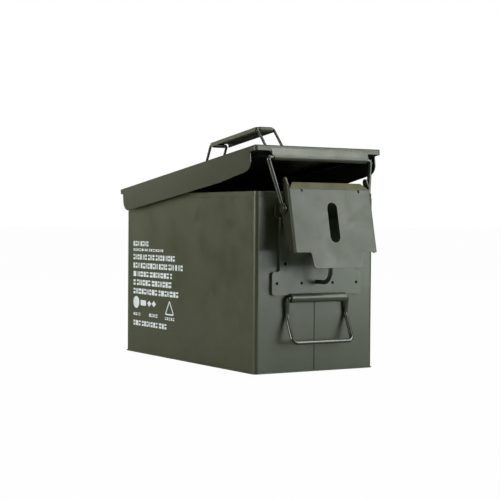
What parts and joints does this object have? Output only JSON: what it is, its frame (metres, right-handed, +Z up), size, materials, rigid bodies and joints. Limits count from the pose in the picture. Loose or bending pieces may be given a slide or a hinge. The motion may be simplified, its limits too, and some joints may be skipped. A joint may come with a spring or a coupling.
{
  "type": "steel battery safe box",
  "caption": "Painted sheet-steel box with a hinged, gasketed lid, draw latch, folding wire carry handle and wire end handle.",
  "frame": {"origin": "centre of the flat base, on the ground plane", "axes": "+X across the latch end, +Y from the latch end towards the hinge end, +Z up"},
  "size_m": [0.1542, 0.3382, 0.2538],
  "materials": {
    "paint_body": "semi-gloss olive paint",
    "paint_lid": "semi-gloss olive paint",
    "paint_wire": "semi-gloss olive paint on wire",
    "paint_latch": "semi-gloss olive paint, lightly handled",
    "pin_steel": "painted steel pin",
    "seal_rubber": "matt black rubber"
  },
  "bodies": {
    "can": {"body_shell": "paint_body", "body_rim": "paint_body", "bottom_pan": "paint_body", "latch_bracket": "paint_body", "seal_staple": "paint_body", "body_hinge_leaf": "paint_body", "hinge_pin": "pin_steel"},
    "front_handle": {"front_handle": "paint_wire"},
    "lid": {"lid_pan": "paint_lid", "lid_hinge_leaf": "paint_lid", "lid_gasket": "seal_rubber", "gasket_retainer": "paint_lid", "handle_guide_rear": "paint_lid", "handle_guide_front": "paint_lid"},
    "bail_rear": {"handle_bail_rear": "paint_wire"},
    "grip": {"handle_grip": "paint_lid"},
    "bail_front": {"handle_bail_front": "paint_wire"},
    "draw_link": {"draw_link": "paint_wire"},
    "latch": {"latch_lever": "paint_latch", "latch_rivets": "paint_wire"}
  },
  "joints": [
    {"name": "lid_hinge", "type": "hinge", "parent": "can", "child": "lid", "pos_m": [0, 0.15, 0.1773], "axis": [-1, 0, 0], "range_deg": [-7.5, 172.5]},
    {"name": "link_swing", "type": "hinge", "parent": "lid", "child": "draw_link", "pos_m": [0, -0.14935, 0.2157], "axis": [-1, 0, 0], "range_deg": [0, 100]},
    {"name": "latch_swing", "type": "hinge", "parent": "draw_link", "child": "latch", "pos_m": [0, -0.1605, 0.1648], "axis": [-1, 0, 0], "range_deg": [0, 100]},
    {"name": "end_handle_swing", "type": "hinge", "parent": "can", "child": "front_handle", "pos_m": [0, -0.14708, 0.0753], "axis": [-1, 0, 0], "range_deg": [0, 80]},
    {"name": "carry_handle_fold", "type": "hinge", "parent": "lid", "child": "bail_rear", "pos_m": [0, 0.07383, 0.20094], "axis": [1, 0, 0], "range_deg": [0, 51]},
    {"name": "grip_level", "type": "hinge", "parent": "bail_rear", "child": "grip", "pos_m": [0, 0.05452, 0.23808], "axis": [1, 0, 0], "range_deg": [-51, 0]},
    {"name": "front_bail_fold", "type": "hinge", "parent": "grip", "child": "bail_front", "pos_m": [0, -0.04512, 0.2512], "axis": [1, 0, 0], "range_deg": [-51, 0]}
  ],
  "couplings": [
    {"joint": "latch_swing", "follows": "link_swing", "ratio": 1},
    {"joint": "grip_level", "follows": "carry_handle_fold", "ratio": -1},
    {"joint": "front_bail_fold", "follows": "carry_handle_fold", "ratio": -1}
  ]
}
